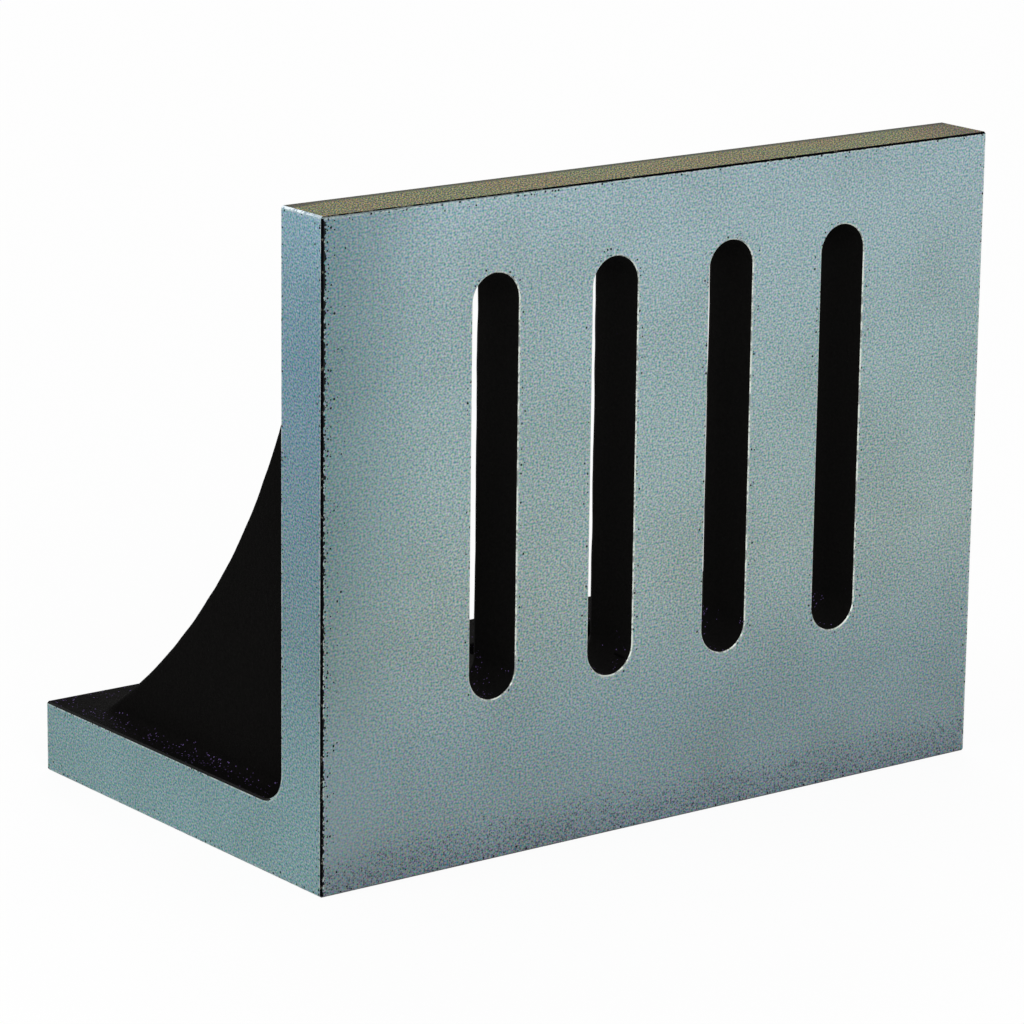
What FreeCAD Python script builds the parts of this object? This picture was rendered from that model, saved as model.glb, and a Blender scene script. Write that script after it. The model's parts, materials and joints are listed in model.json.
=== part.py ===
"""Slotted angle plate: one iron casting, an upright and a foot at a right angle with a web at each end.

Millimetres. X runs along the casting, Y from the ground face to the back, Z up. The origin is on the
underside, in the middle of the length and the depth.
"""

import FreeCAD, Part
import os
from math import radians, sqrt, tan

Vector = FreeCAD.Vector

# Overall size: a 10 x 8 x 6 inch plate
LENGTH = 254.0  # along X
HEIGHT = 203.2  # of the upright
DEPTH = 152.4  # of the foot

# Walls
UPRIGHT_WALL = 21.0
FOOT_WALL = 22.8
CORNER_RADIUS = 10.0  # inside the right angle
EDGE_BREAK = 0.6  # chamfer on the ground edges

# Webs: one near each end, drafted so that it thins from the corner out to its hollow edge
WEB_LEDGE = 8.0  # wall left outside each web
WEB_THICKNESS = 14.0  # in the corner
WEB_DRAFT = 1.0  # degrees on each side
WEB_DROP = 25.2  # from the top of the upright down to the web's upper end
WEB_SETBACK = 18.0  # from the rear edge of the foot in to the web's lower end
WEB_HOLLOW_RADIUS = 245.0  # of the hollow edge
WEB_EDGE_RADIUS = 2.0  # cast round along the hollow edge
WEB_ROOT_RADIUS = 3.0  # cast fillet where a web grows out of the walls
WEB_SUNK = 2.0  # how far a web reaches into the walls, to join them

# Slots: the same row runs through the upright and the foot
SLOT_COUNT = 4
SLOT_PITCH = 44.5
SLOT_ROW_SHIFT = 1.8  # the row stands this far to the right of the middle
SLOT_WIDTH = 17.0
SLOT_BREAK = 0.3  # chamfer round both mouths of a slot
UPRIGHT_SLOT_BELOW = 50.3  # solid wall under the slots of the upright
UPRIGHT_SLOT_ABOVE = 23.2  # and over them
FOOT_SLOT_AHEAD = 44.0  # solid wall in front of the slots of the foot
FOOT_SLOT_BEHIND = 24.4  # and behind them

CLEAR = 20.0  # how far cutting shapes run past the casting
TOLERANCE = 1e-3

LEFT, RIGHT = -LENGTH / 2, LENGTH / 2
FRONT, REAR = -DEPTH / 2, DEPTH / 2
UPRIGHT_BACK = FRONT + UPRIGHT_WALL


def edges_within(shape, boxes):
    """Edges of the shape that lie wholly inside one of the boxes, each given by two corners."""

    def inside(edge, low, high):
        box = edge.BoundBox
        return all(
            getattr(low, axis.lower()) - TOLERANCE <= getattr(box, axis + "Min")
            and getattr(box, axis + "Max") <= getattr(high, axis.lower()) + TOLERANCE
            for axis in "XYZ"
        )

    return [edge for edge in shape.Edges if any(inside(edge, low, high) for low, high in boxes)]


def extruded(outline, direction):
    """Solid with this outline of points, drawn out along the direction."""
    return Part.Face(Part.makePolygon(outline + outline[:1])).extrude(direction)


def walls():
    """Upright and foot, filleted inside the corner and with the ground edges broken."""
    section = [
        (FRONT, 0),
        (REAR, 0),
        (REAR, FOOT_WALL),
        (UPRIGHT_BACK, FOOT_WALL),
        (UPRIGHT_BACK, HEIGHT),
        (FRONT, HEIGHT),
    ]
    solid = extruded([Vector(LEFT, y, z) for y, z in section], Vector(LENGTH, 0, 0))
    corner = (Vector(LEFT, UPRIGHT_BACK, FOOT_WALL), Vector(RIGHT, UPRIGHT_BACK, FOOT_WALL))
    solid = solid.makeFillet(CORNER_RADIUS, edges_within(solid, [corner]))
    ground = [
        (Vector(LEFT, FRONT, 0), Vector(LEFT, REAR, HEIGHT)),
        (Vector(RIGHT, FRONT, 0), Vector(RIGHT, REAR, HEIGHT)),
        (Vector(LEFT, FRONT, 0), Vector(RIGHT, FRONT, HEIGHT)),
        (Vector(LEFT, REAR, 0), Vector(RIGHT, REAR, FOOT_WALL)),
        (Vector(LEFT, FRONT, HEIGHT), Vector(RIGHT, UPRIGHT_BACK, HEIGHT)),
    ]
    return solid.makeChamfer(EDGE_BREAK, edges_within(solid, ground))


def web(middle):
    """Triangular web about the plane X = middle, with drafted sides and a hollow, rounded edge."""
    top = Vector(middle, UPRIGHT_BACK, HEIGHT - WEB_DROP)
    toe = Vector(middle, REAR - WEB_SETBACK, FOOT_WALL)
    slope = toe - top
    outward = Vector(0, -slope.z, slope.y).normalize()

    root = Vector(middle, UPRIGHT_BACK - WEB_SUNK, FOOT_WALL - WEB_SUNK)
    quarter = Part.makeBox(2 * CLEAR, REAR - root.y, HEIGHT - root.z, root - Vector(CLEAR, 0, 0))

    corner = Vector(middle, UPRIGHT_BACK, FOOT_WALL)
    near, far = -2 * WEB_SUNK, max(HEIGHT, DEPTH)
    thinning = tan(radians(WEB_DRAFT))
    section = [
        corner - slope + outward * out + Vector(side * (WEB_THICKNESS / 2 - thinning * out), 0, 0)
        for out, side in ((near, 1), (near, -1), (far, -1), (far, 1))
    ]
    slab = extruded(section, slope * 3)

    rise = sqrt(WEB_HOLLOW_RADIUS ** 2 - (slope.Length / 2) ** 2)
    axis_start = (top + toe) / 2 + outward * rise - Vector(CLEAR, 0, 0)
    hollow = Part.makeCylinder(WEB_HOLLOW_RADIUS, 2 * CLEAR, axis_start, Vector(1, 0, 0))

    blank = slab.common(quarter).cut(hollow)
    rims = [edge for edge in blank.Edges if isinstance(edge.Curve, Part.Ellipse)]
    return blank.makeFillet(WEB_EDGE_RADIUS, rims)


def grow_web(casting, middle):
    """Join a web to the walls, with a cast fillet all round its root."""
    casting = casting.fuse(web(middle))
    left, right = middle - WEB_THICKNESS / 2, middle + WEB_THICKNESS / 2
    corner = Vector(left, UPRIGHT_BACK, FOOT_WALL)
    roots = [
        (corner, Vector(right, UPRIGHT_BACK, HEIGHT)),
        (corner, Vector(right, REAR, FOOT_WALL)),
        (corner, Vector(right, UPRIGHT_BACK + CORNER_RADIUS, FOOT_WALL + CORNER_RADIUS)),
    ]
    return casting.makeFillet(WEB_ROOT_RADIUS, edges_within(casting, roots))


def slot(start, end, through):
    """Bar that cuts one slot: round ended, from start to end, drawn out along through."""
    along = (end - start).normalize() * (SLOT_WIDTH / 2)
    across = along.cross(through).normalize() * (SLOT_WIDTH / 2)
    near, far = start + along, end - along
    outline = [
        Part.makeLine(near - across, far - across),
        Part.Arc(far - across, end, far + across).toShape(),
        Part.makeLine(far + across, near + across),
        Part.Arc(near + across, start, near - across).toShape(),
    ]
    return Part.Face(Part.Wire(outline)).extrude(through)


def cut_slots(casting):
    """Cut the row of slots through the upright and through the foot, and break their mouths."""
    half_row = SLOT_PITCH * (SLOT_COUNT - 1) / 2
    upright_low, upright_high = UPRIGHT_SLOT_BELOW, HEIGHT - UPRIGHT_SLOT_ABOVE
    foot_near, foot_far = FRONT + FOOT_SLOT_AHEAD, REAR - FOOT_SLOT_BEHIND
    ahead, below = FRONT - CLEAR, -CLEAR
    backwards = Vector(0, UPRIGHT_WALL + 2 * CLEAR, 0)
    upwards = Vector(0, 0, FOOT_WALL + 2 * CLEAR)
    for number in range(SLOT_COUNT):
        x = SLOT_ROW_SHIFT - half_row + number * SLOT_PITCH
        in_upright = slot(Vector(x, ahead, upright_low), Vector(x, ahead, upright_high), backwards)
        in_foot = slot(Vector(x, foot_near, below), Vector(x, foot_far, below), upwards)
        casting = casting.cut(in_upright).cut(in_foot)

    left = SLOT_ROW_SHIFT - half_row - SLOT_WIDTH / 2
    right = SLOT_ROW_SHIFT + half_row + SLOT_WIDTH / 2
    mouths = [(Vector(left, y, upright_low), Vector(right, y, upright_high)) for y in (FRONT, UPRIGHT_BACK)]
    mouths += [(Vector(left, foot_near, z), Vector(right, foot_far, z)) for z in (0, FOOT_WALL)]
    return casting.makeChamfer(SLOT_BREAK, edges_within(casting, mouths))


def angle_plate():
    """The whole casting."""
    casting = walls()
    web_middle = LEFT + WEB_LEDGE + WEB_THICKNESS / 2
    for middle in (web_middle, -web_middle):
        casting = grow_web(casting, middle)
    return cut_slots(casting).Solids[0]


os.makedirs("parts", exist_ok=True)
angle_plate().exportStep("parts/angle_plate.step")
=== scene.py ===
"""Looks of the slotted angle plate: ground iron, mottled top edge and black cast skin, in a white studio."""

import json
from functools import reduce
from math import ceil, pi, radians

import bmesh
import bpy
from mathutils import Matrix, Vector, noise


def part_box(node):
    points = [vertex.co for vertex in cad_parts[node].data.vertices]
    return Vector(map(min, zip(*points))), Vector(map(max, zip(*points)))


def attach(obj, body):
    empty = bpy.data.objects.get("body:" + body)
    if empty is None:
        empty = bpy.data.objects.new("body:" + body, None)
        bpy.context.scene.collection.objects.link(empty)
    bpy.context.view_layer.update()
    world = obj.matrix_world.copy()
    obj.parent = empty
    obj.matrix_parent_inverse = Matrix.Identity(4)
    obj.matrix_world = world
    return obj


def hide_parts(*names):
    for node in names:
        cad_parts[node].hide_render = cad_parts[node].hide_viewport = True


MM = 0.001

# The casting, as it is in the frame
PLATE = "angle_plate"
DRESSED = "dressed_angle_plate"
EDGE_BREAK = 0.6 * MM  # chamfer on the ground edges, and a finer one round the mouths of the slots

# Meshing
SKIN_FACET = 2.6 * MM  # grid that the cast surfaces are cut to
SKIN_WAVES = ((26 * MM, 0.22 * MM), (8 * MM, 0.13 * MM))  # wavelength and height
FLUSH = radians(0.05)  # facets that turn less than this lie in one plane
SHARP = radians(35)  # creases at least this steep stay sharp
FLAT = 0.9999  # share of a normal along one axis above which its face is square to that axis
TOUCH = 0.01 * MM  # reach within which a face lies in a plane
MERGE = TOUCH / 10  # reach within which points are the same

# Camera and studio
CAMERA_PLACE = (-0.8784, -1.1555, 0.4575)
CAMERA_HEADING = radians(37.227)  # from +Y towards +X
CAMERA_DIP = radians(14.497)
CAMERA_ROLL = radians(0.69)
CAMERA_LENS = 166.3
FLOOR_SIZE = 14.0
FLOOR_TONE = (0.9, 0.9, 0.9, 1)
FLOOR_GLOW = 0.92  # share of the floor's white that is bare background
SKY = 0.55  # strength of the world where it lights the object; what looks at it straight sees 1
LAMP_AIM = (0, 0, 0.09)
LAMPS = (  # name, place, size and watts
    ("key", (-1.3, -2.6, 1.5), 1.6, 62),
    ("side", (-2.6, 0.3, 1.1), 1.4, 18),
    ("back", (1.4, 2.0, 2.2), 1.6, 22),
)


def srgb(red, green, blue):
    """Linear colour, with alpha, of an sRGB colour out of 255."""
    def linear(part):
        part /= 255
        return part / 12.92 if part <= 0.04045 else ((part + 0.055) / 1.055) ** 2.4

    return linear(red), linear(green), linear(blue), 1.0


# ---------------------------------------------------------------- nodes


class Amount:
    """A number that varies over a surface. Arithmetic on it adds Math nodes to its tree."""

    def __init__(self, nodes, socket):
        self.nodes = nodes
        self.socket = socket

    def __add__(self, other):
        return self.nodes.math("ADD", self, other)

    def __sub__(self, other):
        return self.nodes.math("SUBTRACT", self, other)

    def __rsub__(self, other):
        return self.nodes.math("SUBTRACT", other, self)

    def __mul__(self, other):
        return self.nodes.math("MULTIPLY", self, other)

    def least(self, other):
        return self.nodes.math("MINIMUM", self, other)

    def most(self, other):
        return self.nodes.math("MAXIMUM", self, other)

    def size(self):
        return self.nodes.math("ABSOLUTE", self)

    def root(self):
        return self.nodes.math("SQRT", self)

    def above(self, low, high):
        """0 below low, 1 above high and a smooth rise between them; it falls where high is under low."""
        node = self.nodes.add(
            "ShaderNodeMapRange",
            {"interpolation_type": "SMOOTHSTEP"},
            {"Value": self, "From Min": min(low, high), "From Max": max(low, high)},
        )
        rise = Amount(self.nodes, node.outputs["Result"])
        return rise if low < high else 1 - rise


class Nodes:
    """The node tree of a material or of the world."""

    def __init__(self, owner):
        owner.use_nodes = True
        self.tree = owner.node_tree

    def add(self, kind, settings=None, values=None):
        """New node of this type, with its settings first and then the values or links of its sockets."""
        node = self.tree.nodes.new(kind)
        for key, value in (settings or {}).items():
            setattr(node, key, value)
        for key, value in (values or {}).items():
            self.feed(node.inputs[key], value)
        return node

    def feed(self, socket, value):
        if isinstance(value, Amount):
            value = value.socket
        if isinstance(value, bpy.types.NodeSocket):
            self.tree.links.new(value, socket)
        else:
            socket.default_value = value

    def math(self, operation, first, second=0.0):
        node = self.add("ShaderNodeMath", {"operation": operation}, {0: first, 1: second})
        return Amount(self, node.outputs[0])

    def seen_straight(self):
        """1 for camera, mirror and glass rays, which see the bare background."""
        kinds = ("Camera", "Glossy", "Transmission")
        rays = self.add("ShaderNodeLightPath").outputs
        return reduce(Amount.most, [Amount(self, rays[f"Is {kind} Ray"]) for kind in kinds])


class Finish(Nodes):
    """A procedural material on Object coordinates in millimetres."""

    NOISE_ROUGHNESS = 0.6
    RAGS = 0.6  # size of the raggedness in a speck's outline, as a share of its radius
    SWAY = 0.9  # how far that pushes the outline, as a share of the radius too
    SMALLEST = 0.4  # radius of the smallest speck, as a share of the largest
    SPECK_EDGE = 16  # how sharply a speck ends
    PICK_EDGE = 60  # how sharply points of the grid are picked for a speck

    def __init__(self, name):
        self.material = bpy.data.materials.new(name)
        super().__init__(self.material)
        self.shader = self.tree.nodes["Principled BSDF"]
        place = self.add("ShaderNodeTexCoord").outputs["Object"]
        scaled = self.add("ShaderNodeVectorMath", {"operation": "SCALE"}, {"Vector": place, "Scale": 1 / MM})
        parts = self.add("ShaderNodeSeparateXYZ", {}, {"Vector": scaled.outputs["Vector"]})
        self.x, self.y, self.z = (Amount(self, parts.outputs[axis]) for axis in "XYZ")

    def mix(self, amount, under, over, kind="MIX"):
        """Colour under with colour over laid on it by amount."""
        node = self.add("ShaderNodeMix", {"data_type": "RGBA", "blend_type": kind})
        for socket, value in zip((node.inputs[0], node.inputs[6], node.inputs[7]), (amount, under, over)):
            self.feed(socket, value)
        return node.outputs[2]

    def along(self, amount, stops):
        """Colour that runs with an amount through (amount, colour) stops."""
        low, high = stops[0][0], stops[-1][0]
        share = self.add(
            "ShaderNodeMapRange", {}, {"Value": amount, "From Min": low, "From Max": high}
        ).outputs["Result"]
        ramp = self.add("ShaderNodeValToRGB", {}, {"Fac": share})
        elements = ramp.color_ramp.elements
        while len(elements) < len(stops):
            elements.new(1.0)
        for element, (level, colour) in zip(elements, stops):
            element.position = (level - low) / (high - low)
            element.color = colour
        return ramp.outputs["Color"]

    def spread(self, axes):
        """Place over the surface along these axes alone, in millimetres."""
        parts = {part: getattr(self, axis) for part, axis in zip("XYZ", axes)}
        return self.add("ShaderNodeCombineXYZ", {}, parts).outputs["Vector"]

    def noise(self, size, detail, shift=0.0, stretch=1.0, turn=0.0, axes="xyz"):
        """Noise with blotches of about this size in millimetres: its level from 0 to 1 and its colours.

        The blotches may be stretched along a line that is turned from the first axis towards the second. A
        flat face names the two axes that it spans, here and for its specks.
        """
        place = self.add(
            "ShaderNodeMapping",
            {"vector_type": "TEXTURE"},
            {
                "Vector": self.spread(axes),
                "Location": (shift, shift, shift),
                "Rotation": (0, 0, turn),
                "Scale": (size * stretch, size, size),
            },
        ).outputs["Vector"]
        node = self.add(
            "ShaderNodeTexNoise",
            {"noise_dimensions": f"{len(axes)}D"},
            {"Vector": place, "Scale": 1.0, "Detail": detail, "Roughness": self.NOISE_ROUGHNESS},
        )
        return Amount(self, node.outputs["Fac"]), node.outputs["Color"]

    def spots(self, spacing, radius, share, axes="xyz"):
        """Ragged specks up to this radius on about this share of the points of a random grid, as a mask."""
        _, sway = self.noise(self.RAGS * radius, detail=1.0, shift=71)
        reach = self.SWAY * radius
        off = self.add("ShaderNodeVectorMath", {"operation": "SCALE"}, {"Vector": sway, "Scale": reach})
        place = self.add("ShaderNodeVectorMath", {}, {0: self.spread(axes), 1: off.outputs["Vector"]})
        node = self.add(
            "ShaderNodeTexVoronoi",
            {"feature": "F1", "voronoi_dimensions": f"{len(axes)}D"},
            {"Vector": place.outputs["Vector"], "Scale": 1 / spacing},
        )
        lots = self.add("ShaderNodeSeparateColor", {}, {"Color": node.outputs["Color"]})
        picked = share - Amount(self, lots.outputs["Red"])
        growth = Amount(self, lots.outputs["Green"]) * (1 - self.SMALLEST) + self.SMALLEST
        inside = growth * (radius / spacing) - Amount(self, node.outputs["Distance"])
        return (inside * self.SPECK_EDGE).least(picked * self.PICK_EDGE).above(0.0, 1.0)

    def grained(self, colour, grain, contrast, tints, strength, warmth=1.25):
        """Colour made lighter and darker by a grain, most so in its red, and tinted this way and that."""
        swing = (grain - 0.5) * contrast
        level = swing + 1
        warm = swing * warmth + 1
        light = self.add("ShaderNodeCombineColor", {}, {"Red": warm, "Green": level, "Blue": level})
        lit = self.mix(1.0, colour, light.outputs["Color"], "MULTIPLY")
        return self.mix(strength, lit, tints, "LINEAR_LIGHT")

    def bump(self, height, depth):
        node = self.add("ShaderNodeBump", {}, {"Height": height, "Distance": depth, "Strength": 1.0})
        self.feed(self.shader.inputs["Normal"], node.outputs["Normal"])

    def set(self, **sockets):
        """Values or links of the shader's sockets, with _ for each space in a name."""
        for name, value in sockets.items():
            self.feed(self.shader.inputs[name.replace("_", " ")], value)


# ---------------------------------------------------------------- finishes

# Walls of the casting, in millimetres as everything in the finishes
FOOT_WALL = 22.8
UPRIGHT_WALL = 21.0
CORNER_RADIUS = 10.0  # inside the right angle

# Tones of the ground faces, by height over the underside, which paint light and shade onto them
# Front: painted shade, darker and darker towards its foot
FACE_SHADE_TONES = (
    (0, srgb(101, 116, 123)),
    (5, srgb(106, 122, 128)),
    (15, srgb(113, 131, 135)),
    (38, srgb(118, 138, 142)),
    (62, srgb(129, 148, 149)),
    (80, srgb(136, 154, 153)),
    (127, srgb(137, 158, 159)),
    (200, srgb(142, 164, 170)),
)
# Ends, and the rear of the foot: painted light, lighter towards the top
END_LIGHT_TONES = (
    (0, srgb(111, 141, 144)),
    (30, srgb(107, 136, 140)),
    (76, srgb(99, 126, 133)),
    (127, srgb(99, 127, 139)),
    (155, srgb(101, 132, 147)),
    (180, srgb(109, 140, 153)),
    (203, srgb(125, 158, 173)),
)
BASE_TONES = (  # by place, from front to rear
    (-76, srgb(112, 128, 130)),
    (0, srgb(128, 146, 148)),
    (76, srgb(122, 140, 143)),
)

# Laid over those tones: clouds, painted shade towards the left side, wear, painted shade in specks towards
# the foot, and pits whose colour also paints the shade of the dark edges
CLOUDS = srgb(214, 212, 204)
LEFT_SHADE = srgb(190, 203, 207)
WEAR = srgb(205, 212, 205)
FOOT_SHADE_SPECKS = srgb(42, 45, 60)
PIT_AND_EDGE_SHADE = srgb(8, 9, 12)

# Top edge: its two tones, brownish as a painted reflection of warm light, its darkening towards the right
# end, and its pits
TOP_REFLECTED_TONES = srgb(93, 100, 66), srgb(104, 93, 60)
TOP_RIGHT_DARK = srgb(60, 50, 38)
TOP_PITS = srgb(14, 16, 13)

# Paint outside the webs, and the same paint paler between them as painted fill light in the shade there,
# dark and pale; and painted glints of light on it
OUTER_PAINT = srgb(4, 4, 4), srgb(13, 12, 11)
INNER_PAINT_FILL_LIT = srgb(8, 8, 8), srgb(20, 19, 18)
GLINTS = srgb(104, 84, 138)
NO_SHINE = 0.02  # specular level of paint and of the chamfers painted black as shade

# Chamfers: painted shade of the dark edges, tan where that shade breaks up, iron that is free of it, and
# paint that has run over an edge
BLACK_EDGE_SHADE = srgb(2, 2, 4)
BROKEN_EDGE_SHADE = srgb(112, 112, 100)
CLEAN_IRON = srgb(140, 158, 163)
PAINT_RUN = srgb(6, 6, 6)


def rim_gap(finish, box, axes):
    """Millimetres in from the nearest edge of a ground face that spans these axes."""
    low, high = box
    gaps = []
    for axis in axes:
        along = getattr(finish, axis)
        gaps += [along - getattr(low, axis), getattr(high, axis) - along]
    if axes == "yz":  # an end is the shape of an L, with a round inside its corner
        up = (FOOT_WALL + CORNER_RADIUS - finish.z).most(0.0)
        back = (low.y + UPRIGHT_WALL + CORNER_RADIUS - finish.y).most(0.0)
        gaps.append((up * up + back * back).root() - CORNER_RADIUS)
    return reduce(Amount.least, gaps)


def mouth_gap(finish, slots):
    """Millimetres out from the rim of the nearest slot of the upright."""
    shape = slots[0]["dims"]
    radius = shape["hole_r_mm"]
    straight = shape["slot_length_mm"] / 2 - radius
    aside = reduce(Amount.least, [(finish.x - slot["pos_m"][0] / MM).size() for slot in slots])
    beyond = ((finish.z - slots[0]["pos_m"][2] / MM).size() - straight).most(0.0)
    return (aside * aside + beyond * beyond).root() - radius


def ground_iron(name, box, axes, run, tones, grit=0.6, contrast=1.0, tint=0.12, slots=()):
    """Ground grey iron: fine mottled grain over soft clouds, worn bright and pitted along its edges.

    The grain is drawn out sideways, as the wheel went. The face with slots in it also darkens towards its
    left side and its foot as painted shade, and is painted black along its left and top edges as their
    shade.
    """
    finish = Finish(name)
    low, high = box
    grain, tints = finish.noise(grit, detail=0.0, stretch=1.2, axes=axes)
    fleck, _ = finish.noise(0.9, detail=1.0, shift=40)
    cloud, _ = finish.noise(45, detail=3.0, shift=11)
    rim = lip = rim_gap(finish, box, axes)
    pitted = rim.above(4.5, 0.7) * 0.1 + rim.above(1.9, 0.9) * 0.25
    if slots:
        mouth = mouth_gap(finish, slots)
        left = finish.x - low.x
        pitted = pitted.most(mouth.above(4, 0.4) * 0.2)
        pitted = pitted.most(left.above(4.5, 0.8) * 0.75).most(left.above(11, 2) * 0.12)
        lip = rim.least(mouth + 0.5)
        contrast = finish.z.above(0, 70) * 0.4 - left.above(45, 10) * 0.32 + (contrast - 0.4)
        tint = tint - left.above(30, 5) * 0.03

    colour = finish.along(getattr(finish, run), tones)
    colour = finish.mix(cloud.above(0.35, 0.7) * 0.3, colour, CLOUDS, "MULTIPLY")
    if slots:
        # Painted shade: the face darkens towards its left side, less so low down
        colour = finish.mix(left.above(50, -8) * finish.z.above(12, 100), colour, LEFT_SHADE, "MULTIPLY")
    mottle = grain * 0.8 + fleck * 0.2
    colour = finish.grained(colour, mottle, contrast, tints, tint)

    worn = lip.above(1.2, 0.8) * (fleck * 2.4 - 0.65).above(0.0, 1.0) * finish.z.above(1.5, 3)
    colour = finish.mix(worn * 0.5, colour, WEAR)
    marks = finish.spots(spacing=1.25, radius=0.42, share=pitted + 0.003, axes=axes)
    if slots:
        # Painted shade along the foot, laid as fine dark specks that crowd towards the underside
        foot_shade_specks = finish.spots(spacing=0.75, radius=0.38, share=finish.z.above(17, -1) * 0.66, axes=axes)
        colour = finish.mix(foot_shade_specks * 0.8, colour, FOOT_SHADE_SPECKS)
        # Ragged black bands along the left and top edges: the painted shade of those edges, reaching onto
        # the face in the pits' colour
        shade_rags, _ = finish.noise(1.3, detail=1.0, shift=57)
        side = left + (shade_rags - 0.5) * 2.2 - finish.z.above(70, 180) * 0.3
        head = high.z - finish.z + (shade_rags - 0.42) * 0.8
        marks = marks.most(side.above(0.85, 0.7)).most(head.above(0.75, 0.6))
    colour = finish.mix(marks * 0.95, colour, PIT_AND_EDGE_SHADE)

    finish.set(Base_Color=colour, Metallic=marks * 0.5 + 0.5, Roughness=grain * 0.2 + 0.42)
    finish.bump(mottle * 0.5 - marks * 1.2, 0.05 * MM)
    return finish.material


def milled_top(name, box):
    """Top edge: milled iron coloured brownish as a painted reflection of warm light, coarse in grain, dark
    along its rear edge and in a corner.
    """
    finish = Finish(name)
    low, high = box
    grain, tints = finish.noise(0.5, detail=1.0, stretch=3.2, turn=radians(51.5), axes="xy")
    cloud, _ = finish.noise(24, detail=3.0, shift=5)
    # Painted reflection of warm light: the top's two brownish tones
    colour = finish.mix(cloud.above(0.3, 0.75), *TOP_REFLECTED_TONES)
    # Darker towards the right end
    colour = finish.mix((high.x - finish.x).above(30, 0) * 0.6, colour, TOP_RIGHT_DARK)
    colour = finish.grained(colour, grain, 4.6, tints, 0.17, warmth=1.1)
    rear = low.y + UPRIGHT_WALL - finish.y
    corner = (finish.x - low.x).above(14, 2)
    dark = (rear - grain * 5 - corner * 2).above(1.5, -0.5)
    marks = finish.spots(spacing=1.9, radius=0.6, share=corner * 0.4 + 0.06, axes="xy").most(dark * 0.9)
    colour = finish.mix(marks * 0.85, colour, TOP_PITS)
    finish.set(Base_Color=colour, Metallic=marks * 0.6 + 0.3, Roughness=0.7, Specular_IOR_Level=0.2)
    finish.bump(grain * 0.6 - marks, 0.08 * MM)
    return finish.material


def cast_skin(name, box):
    """Black paint over sand-cast iron, with painted glints of light on the foot and where the slots end.

    The paint is paler between the webs, as painted fill light in the shade there, and keeps a little of its
    sheen on the steep walls that face back.
    """
    finish = Finish(name)
    low, high = box
    from_left, from_right = finish.x - low.x, high.x - finish.x
    over_foot = finish.z - FOOT_WALL
    behind = finish.y - (low.y + UPRIGHT_WALL)  # how far behind the upright's rear face
    sand, _ = finish.noise(1.1, detail=4.0)
    lumps, _ = finish.noise(5.0, detail=3.0, shift=9)
    patch, _ = finish.noise(12, detail=2.0, shift=33)

    # Painted fill light: the paint is paler between the webs, where they shade it
    between = from_left.above(13, 18) * from_right.above(13, 18)
    dark, pale = (finish.mix(between, outer, inner) for outer, inner in zip(OUTER_PAINT, INNER_PAINT_FILL_LIT))
    colour = finish.mix(sand, dark, pale)

    # Painted glints of light: purple specks on the foot, thickest on the ledge outside the left web, and
    # where the slots end
    on_foot = over_foot.above(4, 1)
    in_slots = finish.z.above(64, 57) * behind.above(0.2, -0.2)
    share = patch.above(0.42, 0.6) * on_foot.most(in_slots * 1.5) * 0.36
    ledge = on_foot * from_left.above(9.5, 7.5) * finish.y.above(-52, -30)
    share = share.most(ledge * from_left.above(2.0, 4.5) * (patch.above(0.3, 0.55) * 0.5 + 0.2))
    glints = finish.spots(spacing=0.9, radius=0.27, share=share + 0.003)
    colour = finish.mix(glints, colour, GLINTS)

    back_wall = behind.above(-1.2, -0.5) * behind.above(9, 1)
    left_web = from_left.above(15, 18) * from_left.above(50, 28)
    right_web = from_right.above(16, 12)
    steep = back_wall.most(left_web).most(right_web) * over_foot.above(1, 14)
    finish.set(Base_Color=colour, Roughness=0.95 - sand * 0.15, Coat_Weight=steep * (0.3 - sand * 0.1))
    finish.set(Specular_IOR_Level=NO_SHINE, Coat_Roughness=0.45)
    finish.bump(sand * 0.6 + lumps * 0.8, 0.5 * MM)
    return finish.material


def bare_edge(name, bright, dull, share, painted=False, fading=0.0):
    """Chamfer of bare iron, dull on about this share of it and by up to fading at its front end. Its
    colours are painted highlights on the ends' top edges and round the slots, and painted shade on the
    foot's front.

    Where it is painted, the paint of the cast side has run over it along the top of the foot.
    """
    finish = Finish(name)
    patches, _ = finish.noise(2.4, detail=2.0)
    grain, tints = finish.noise(0.9, detail=1.0, shift=31)
    cover = (patches * 0.6 + grain * 0.4).above(0.70 - 0.5 * share, 0.62 - 0.5 * share)
    colour = finish.mix(0.05, finish.mix(cover, dull, bright), tints, "LINEAR_LIGHT")
    if fading:
        colour = finish.mix(finish.y.above(-66, -74) * fading, colour, dull)
    if painted:
        foot_line = (finish.z - FOOT_WALL).size().above(0.75, 0.62)
        colour = finish.mix(foot_line, colour, PAINT_RUN)
        finish.set(Metallic=foot_line * 0.5 + 0.4)
    else:
        finish.set(Metallic=0.4)
    finish.set(Base_Color=colour, Roughness=0.55)
    finish.bump(patches + grain, 0.1 * MM)
    return finish.material


def black_edge(name, box):
    """Chamfer painted black as its shade, which thins out low down and towards the left end of the top."""
    finish = Finish(name)
    below = box[1].z - finish.z
    patches, _ = finish.noise(2.0, detail=3.0)
    thin = finish.z.above(50, 0).most(below.above(1.2, 0.7) * finish.x.above(-20, -125))
    bare = (patches + thin * 0.12).above(0.62, 0.72)
    colour = finish.mix(bare * 0.6, BLACK_EDGE_SHADE, BROKEN_EDGE_SHADE)
    # Along the top, the chamfer's lower half is free of the painted shade at the left end, and less and less
    # of it further on
    clean = (below - finish.x.above(-120, 60) * 0.3).above(0.33, 0.4) * below.above(0.66, 0.6)
    colour = finish.mix(clean * 0.6, colour, CLEAN_IRON)
    finish.set(Base_Color=colour, Roughness=0.9, Specular_IOR_Level=NO_SHINE)
    finish.bump(patches, 0.15 * MM)
    return finish.material


# ---------------------------------------------------------------- the casting

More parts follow.
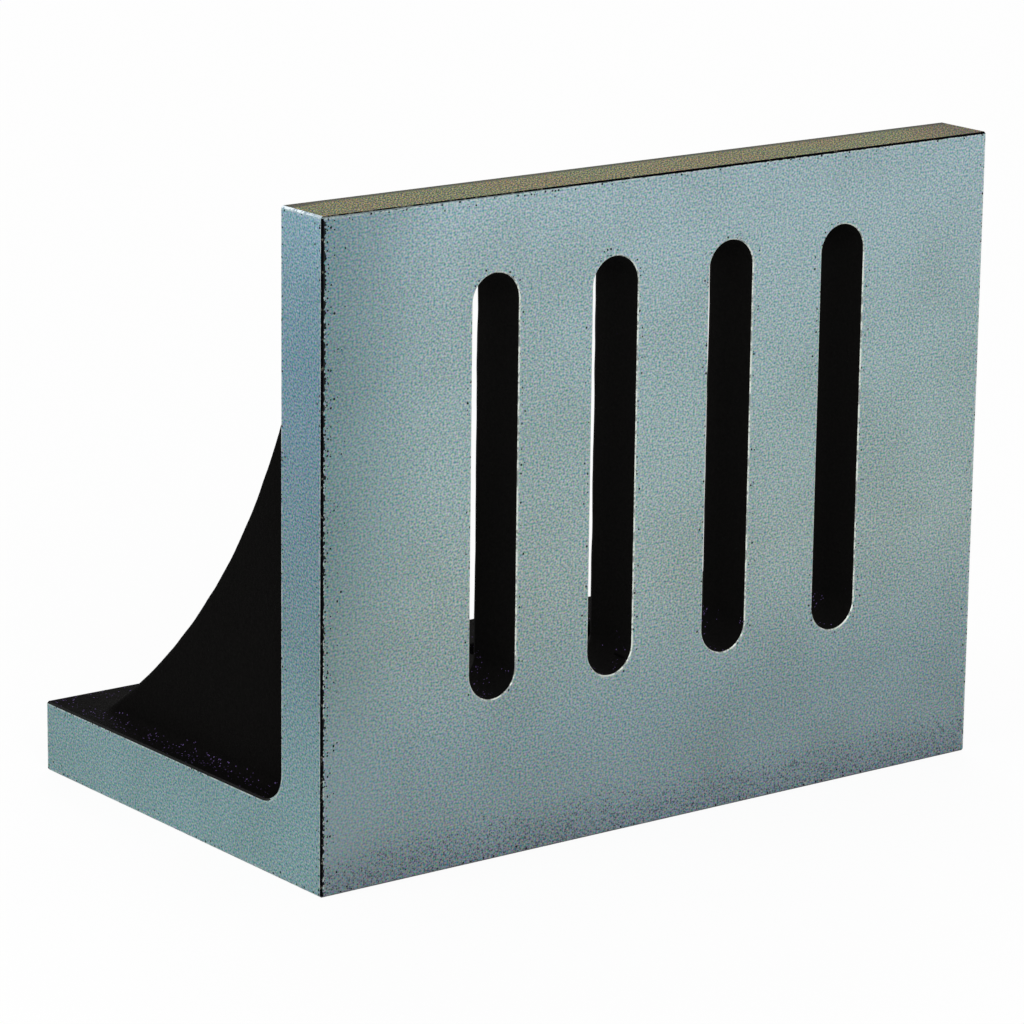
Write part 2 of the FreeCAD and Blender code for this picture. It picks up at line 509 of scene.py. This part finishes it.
# Kinds of surface: ground faces, the cast skin, and the chamfers between them
FACE, TOP, BASE, REAR, END, SKIN, BLACK_LINE, DULL_LINE, BRIGHT_LINE, PLAIN_LINE, SLOT_LINE = range(11)
GROUND = {FACE, TOP, BASE, REAR, END}


def merged_copy(node):
    """The CAD solid as a bmesh with its loose triangles joined."""
    mesh = bmesh.new()
    mesh.from_mesh(frame["nodes"][node].data)
    bmesh.ops.remove_doubles(mesh, verts=mesh.verts, dist=MERGE)
    return mesh


def sort_faces(mesh, low, high):
    """Give each face the finish of the surface that it belongs to."""
    def near(value, target):
        return abs(value - target) < reach

    for face in mesh.faces:
        normal, middle = face.normal, face.calc_center_median()
        flat = max(abs(part) for part in normal) > FLAT
        reach = TOUCH if flat else EDGE_BREAK
        at_end = near(middle.x, low.x) or near(middle.x, high.x)
        at_front, at_rear = near(middle.y, low.y), near(middle.y, high.y)
        at_foot, at_top = near(middle.z, low.z), near(middle.z, high.z)
        if flat and at_front:
            kind = FACE
        elif flat and at_top:
            kind = TOP
        elif flat and at_foot:
            kind = BASE
        elif flat and at_rear:
            kind = REAR
        elif flat and at_end:
            kind = END
        elif flat:
            kind = SKIN
        elif at_front and (at_end or at_top):
            kind = BLACK_LINE
        elif at_end and at_top:
            kind = BRIGHT_LINE
        elif at_foot and at_front:
            kind = DULL_LINE
        elif at_end or at_top or at_rear:
            kind = PLAIN_LINE
        elif at_front or at_foot:
            kind = SLOT_LINE
        else:
            kind = SKIN
        face.material_index = kind


def within_skin(parts):
    """Those of these edges or points that cast faces, and no others, meet at."""
    return [
        part for part in parts
        if part.link_faces and all(face.material_index == SKIN for face in part.link_faces)
    ]


def grid_skin(mesh, low, high):
    """Cut the cast surfaces into small even cells, along planes square to X, Y and Z."""
    edges, verts = within_skin(mesh.edges), within_skin(mesh.verts)
    bmesh.ops.dissolve_limit(mesh, angle_limit=FLUSH, verts=verts, edges=edges)
    for axis in range(3):
        square = Vector([float(other == axis) for other in range(3)])
        count = ceil((high[axis] - low[axis]) / SKIN_FACET)
        step = (high[axis] - low[axis]) / count
        for turn in range(1, count):
            place = square * (low[axis] + turn * step)
            skin = [face for face in mesh.faces if face.material_index == SKIN]
            edges = {edge for face in skin for edge in face.edges}
            verts = {vert for face in skin for vert in face.verts}
            bmesh.ops.bisect_plane(
                mesh, geom=[*verts, *edges, *skin], dist=MERGE, plane_co=place, plane_no=square
            )
    many = [face for face in mesh.faces if len(face.verts) > 3]
    bmesh.ops.triangulate(mesh, faces=many, quad_method="BEAUTY", ngon_method="BEAUTY")


def roughen_skin(mesh):
    """Move the cast surfaces in and out as sand-cast iron is."""
    mesh.normal_update()
    loose = within_skin(mesh.verts)
    moves = [
        vert.normal * sum(height * noise.noise(vert.co / length) for length, height in SKIN_WAVES)
        for vert in loose
    ]
    for vert, move in zip(loose, moves):
        vert.co += move


def crease(mesh):
    """Smooth shading, with every edge of a ground face and every steep edge kept sharp."""
    for face in mesh.faces:
        face.smooth = True
    for edge in mesh.edges:
        kinds = {face.material_index for face in edge.link_faces}
        borders = len(kinds) > 1 and (kinds & GROUND)
        edge.smooth = not borders and edge.calc_face_angle(0.0) < SHARP


def dress_plate():
    """The plate with its cast surfaces roughened and every surface in its finish."""
    box = low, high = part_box(PLATE)
    mesh = merged_copy(PLATE)
    sort_faces(mesh, low, high)
    grid_skin(mesh, low, high)
    roughen_skin(mesh)
    crease(mesh)
    data = bpy.data.meshes.new(DRESSED)
    mesh.to_mesh(data)
    mesh.free()
    piece = bpy.data.objects.new(DRESSED, data)
    bpy.context.scene.collection.objects.link(piece)
    slots = [mount for mount in frame["record"]["mounts"] if mount["name"].startswith("upright_slot")]
    span = tuple(corner / MM for corner in box)  # in millimetres, as the finishes take it
    for material in (  # in the order of the kinds
        ground_iron("ground_face", span, "xz", "z", FACE_SHADE_TONES, slots=slots),
        milled_top("milled_top", span),
        ground_iron("ground_base", span, "xy", "y", BASE_TONES, contrast=0.9, tint=0.1),
        ground_iron("ground_rear", span, "xz", "z", END_LIGHT_TONES, contrast=0.9, tint=0.1),
        ground_iron("ground_end", span, "yz", "z", END_LIGHT_TONES, grit=0.62, contrast=1.05, tint=0.11),
        cast_skin("cast_skin", span),
        # Front outline chamfers: painted black as their shade
        black_edge("black_line", span),
        # Front edge of the foot: painted shade, darker than the face since the chamfer faces down
        bare_edge("dull_line", srgb(96, 108, 112), srgb(46, 50, 58), 0.45),
        # Top edges of the ends: a painted highlight, dulled towards the front
        bare_edge("bright_line", srgb(228, 238, 243), srgb(150, 170, 182), 0.2, fading=0.7),
        bare_edge("plain_line", srgb(150, 170, 173), srgb(84, 94, 98), 0.3, painted=True),
        # Rims of the slots: a painted highlight
        bare_edge("slot_line", srgb(200, 206, 198), srgb(128, 136, 132), 0.3),
    ):
        data.materials.append(material)
    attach(piece, "root")
    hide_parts(PLATE)


# ---------------------------------------------------------------- studio


def area_lamp(name, place, size, watts):
    """Square soft lamp at a place, turned to face the casting."""
    lamp = bpy.data.lights.new(name, "AREA")
    lamp.size = size
    lamp.energy = watts
    item = bpy.data.objects.new(name, lamp)
    item.location = place
    item.rotation_euler = (Vector(LAMP_AIM) - Vector(place)).to_track_quat("-Z", "Y").to_euler()
    bpy.context.scene.collection.objects.link(item)


def white_world():
    """World that lights the casting softly and looks plain white."""
    world = bpy.data.worlds.new("studio")
    bpy.context.scene.world = world
    nodes = Nodes(world)
    background = nodes.tree.nodes["Background"]
    nodes.feed(background.inputs["Color"], (1, 1, 1, 1))
    nodes.feed(background.inputs["Strength"], nodes.seen_straight() * (1 - SKY) + SKY)


def white_floor():
    """Floor that takes a pale shadow and runs out into the background."""
    mesh = bmesh.new()
    bmesh.ops.create_grid(mesh, x_segments=1, y_segments=1, size=FLOOR_SIZE / 2)
    data = bpy.data.meshes.new("studio_floor")
    mesh.to_mesh(data)
    mesh.free()
    floor = bpy.data.objects.new("studio_floor", data)
    bpy.context.scene.collection.objects.link(floor)
    material = bpy.data.materials.new("studio_white")
    nodes = Nodes(material)
    nodes.tree.nodes.clear()
    matt = nodes.add("ShaderNodeBsdfDiffuse", {}, {"Color": FLOOR_TONE})
    glow = nodes.add("ShaderNodeEmission")
    share = nodes.seen_straight() * FLOOR_GLOW
    both = nodes.add("ShaderNodeMixShader", {}, {0: share, 1: matt.outputs[0], 2: glow.outputs[0]})
    nodes.add("ShaderNodeOutputMaterial", {}, {"Surface": both.outputs[0]})
    data.materials.append(material)


def camera():
    """Camera that looks down a little on the front and the left end."""
    lens = bpy.data.cameras.new("camera")
    lens.lens = CAMERA_LENS
    item = bpy.data.objects.new("camera", lens)
    turn = (
        Matrix.Rotation(-CAMERA_HEADING, 3, "Z")
        @ Matrix.Rotation(pi / 2 - CAMERA_DIP, 3, "X")
        @ Matrix.Rotation(CAMERA_ROLL, 3, "Z")
    )
    item.location = CAMERA_PLACE
    item.rotation_euler = turn.to_euler()
    bpy.context.scene.collection.objects.link(item)
    bpy.context.scene.camera = item


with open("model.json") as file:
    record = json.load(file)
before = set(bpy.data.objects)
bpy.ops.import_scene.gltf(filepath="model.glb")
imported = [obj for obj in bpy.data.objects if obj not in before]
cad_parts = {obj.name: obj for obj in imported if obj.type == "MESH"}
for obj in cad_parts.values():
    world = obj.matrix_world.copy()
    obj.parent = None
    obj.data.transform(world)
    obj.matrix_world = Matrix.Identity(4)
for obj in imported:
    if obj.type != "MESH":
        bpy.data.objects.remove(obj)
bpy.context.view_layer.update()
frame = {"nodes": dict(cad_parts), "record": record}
dress_plate()
white_world()
white_floor()
camera()
for lamp in LAMPS:
    area_lamp(*lamp)
bpy.context.scene.view_settings.view_transform = "Standard"
